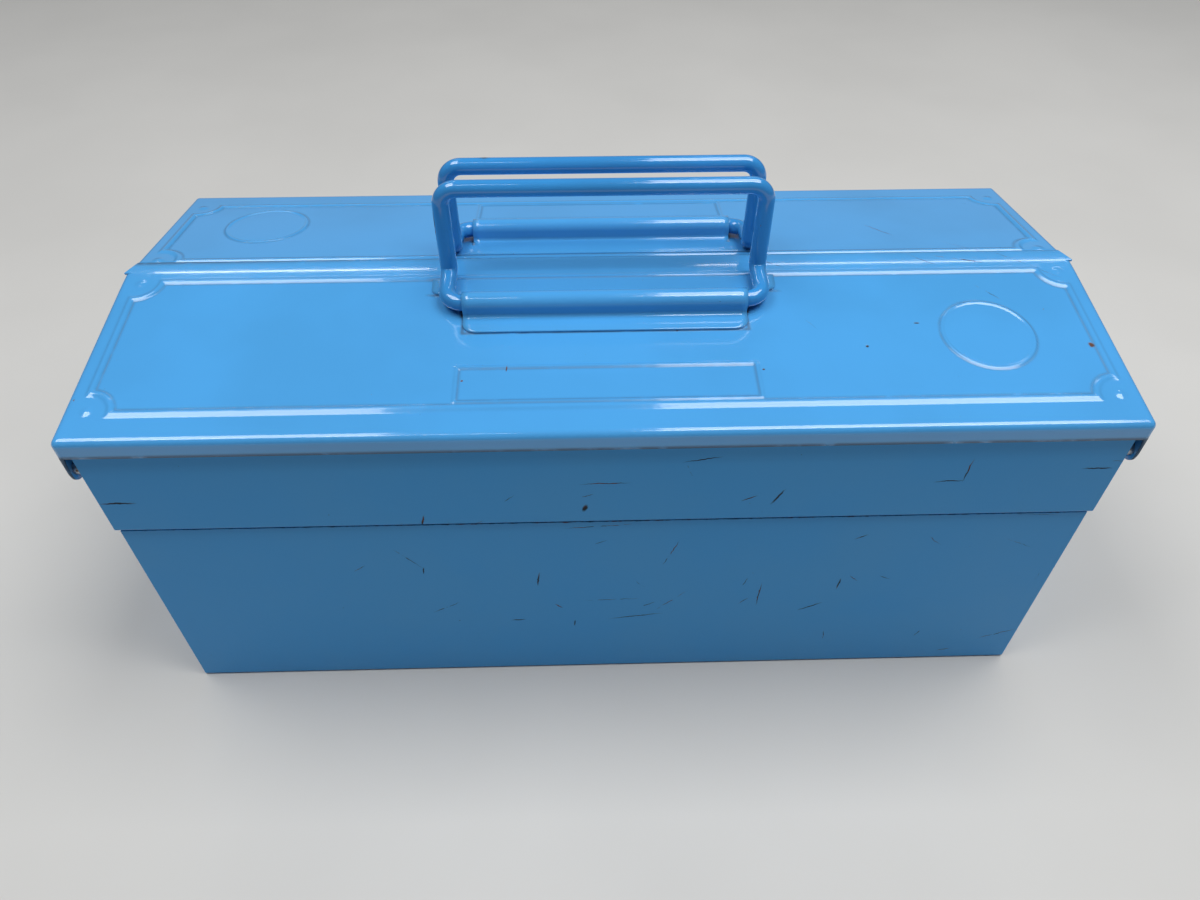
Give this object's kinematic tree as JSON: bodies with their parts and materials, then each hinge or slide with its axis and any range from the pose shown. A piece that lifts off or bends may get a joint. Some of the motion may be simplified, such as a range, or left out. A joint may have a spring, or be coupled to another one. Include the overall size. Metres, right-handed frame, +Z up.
{
  "type": "toolbox with tray",
  "caption": "Sheet-steel cantilever toolbox: a base carries two trays whose hinged lids swing apart on side arms, with fold-down rod handles.",
  "frame": {"origin": "on the resting plane under the middle of the base", "axes": "+X along the box, -Y towards the front long side, +Z up"},
  "size_m": [0.3622, 0.158, 0.1935],
  "materials": {
    "blue_enamel": "glossy baked enamel on steel sheet",
    "handle_enamel": "glossy baked enamel on round steel rod",
    "linkage_enamel": "baked enamel worn at the rubbing faces",
    "rivet_steel": "zinc-plated steel, dulled"
  },
  "bodies": {
    "base": {"base_pan": "blue_enamel", "base_end_left": "blue_enamel", "base_end_right": "blue_enamel", "base_rivets": "rivet_steel", "base_spacers": "rivet_steel"},
    "front_crank_arms": {"front_crank_arm_left": "linkage_enamel", "front_crank_arm_right": "linkage_enamel", "front_crank_rivets": "rivet_steel"},
    "front_plain_arms": {"front_plain_arm_left": "linkage_enamel", "front_plain_arm_right": "linkage_enamel"},
    "front_tray": {"front_tray_pan": "blue_enamel", "front_tray_end_left": "blue_enamel", "front_tray_end_right": "blue_enamel", "front_tray_rivets": "rivet_steel", "front_hinge_rivets": "rivet_steel"},
    "front_lid": {"front_lid": "blue_enamel", "front_handle_clip": "blue_enamel", "front_link_rivets": "rivet_steel"},
    "front_lid_links": {"front_lid_link_left": "linkage_enamel", "front_lid_link_right": "linkage_enamel"},
    "front_handle": {"front_handle": "handle_enamel"},
    "rear_crank_arms": {"rear_crank_arm_left": "linkage_enamel", "rear_crank_arm_right": "linkage_enamel", "rear_crank_rivets": "rivet_steel"},
    "rear_plain_arms": {"rear_plain_arm_left": "linkage_enamel", "rear_plain_arm_right": "linkage_enamel"},
    "rear_tray": {"rear_tray_pan": "blue_enamel", "rear_tray_end_left": "blue_enamel", "rear_tray_end_right": "blue_enamel", "rear_tray_rivets": "rivet_steel", "rear_hinge_rivets": "rivet_steel"},
    "rear_lid": {"rear_lid": "blue_enamel", "rear_handle_clip": "blue_enamel", "rear_link_rivets": "rivet_steel"},
    "rear_lid_links": {"rear_lid_link_left": "linkage_enamel", "rear_lid_link_right": "linkage_enamel"},
    "rear_handle": {"rear_handle": "handle_enamel"}
  },
  "joints": [
    {"name": "front_swing", "type": "hinge", "parent": "base", "child": "front_crank_arms", "pos_m": [0, -0.06592, 0.07916], "axis": [1, 0, 0], "range_deg": [0, 105]},
    {"name": "front_plain_arm_turn", "type": "hinge", "parent": "base", "child": "front_plain_arms", "pos_m": [0, -0.04622, 0.07916], "axis": [1, 0, 0], "range_deg": [0, 105]},
    {"name": "front_tray_level", "type": "hinge", "parent": "front_crank_arms", "child": "front_tray", "pos_m": [0, -0.0269, 0.1119], "axis": [1, 0, 0], "range_deg": [-105, 0]},
    {"name": "front_lid_turn", "type": "hinge", "parent": "front_tray", "child": "front_lid", "pos_m": [0, -0.0729, 0.1275], "axis": [1, 0, 0], "range_deg": [0, 105]},
    {"name": "front_link_turn", "type": "hinge", "parent": "front_crank_arms", "child": "front_lid_links", "pos_m": [0, -0.01632, 0.11641], "axis": [1, 0, 0], "range_deg": [-105, 0]},
    {"name": "front_handle_fold", "type": "hinge", "parent": "front_lid", "child": "front_handle", "pos_m": [0, -0.02195, 0.15519], "axis": [1, 0, 0], "range_deg": [0, 122]},
    {"name": "rear_swing", "type": "hinge", "parent": "base", "child": "rear_crank_arms", "pos_m": [0, 0.06592, 0.07916], "axis": [-1, 0, 0], "range_deg": [0, 105]},
    {"name": "rear_plain_arm_turn", "type": "hinge", "parent": "base", "child": "rear_plain_arms", "pos_m": [0, 0.04622, 0.07916], "axis": [-1, 0, 0], "range_deg": [0, 105]},
    {"name": "rear_tray_level", "type": "hinge", "parent": "rear_crank_arms", "child": "rear_tray", "pos_m": [0, 0.0269, 0.1119], "axis": [-1, 0, 0], "range_deg": [-105, 0]},
    {"name": "rear_lid_turn", "type": "hinge", "parent": "rear_tray", "child": "rear_lid", "pos_m": [0, 0.0729, 0.1275], "axis": [-1, 0, 0], "range_deg": [0, 105]},
    {"name": "rear_link_turn", "type": "hinge", "parent": "rear_crank_arms", "child": "rear_lid_links", "pos_m": [0, 0.01632, 0.11641], "axis": [-1, 0, 0], "range_deg": [-105, 0]},
    {"name": "rear_handle_fold", "type": "hinge", "parent": "rear_lid", "child": "rear_handle", "pos_m": [0, 0.03005, 0.15409], "axis": [-1, 0, 0], "range_deg": [0, 122]}
  ],
  "couplings": [
    {"joint": "front_plain_arm_turn", "follows": "front_swing", "ratio": 1},
    {"joint": "front_tray_level", "follows": "front_swing", "ratio": -1},
    {"joint": "front_lid_turn", "follows": "front_swing", "ratio": 1},
    {"joint": "front_link_turn", "follows": "front_swing", "ratio": -1},
    {"joint": "rear_plain_arm_turn", "follows": "rear_swing", "ratio": 1},
    {"joint": "rear_tray_level", "follows": "rear_swing", "ratio": -1},
    {"joint": "rear_lid_turn", "follows": "rear_swing", "ratio": 1},
    {"joint": "rear_link_turn", "follows": "rear_swing", "ratio": -1}
  ]
}
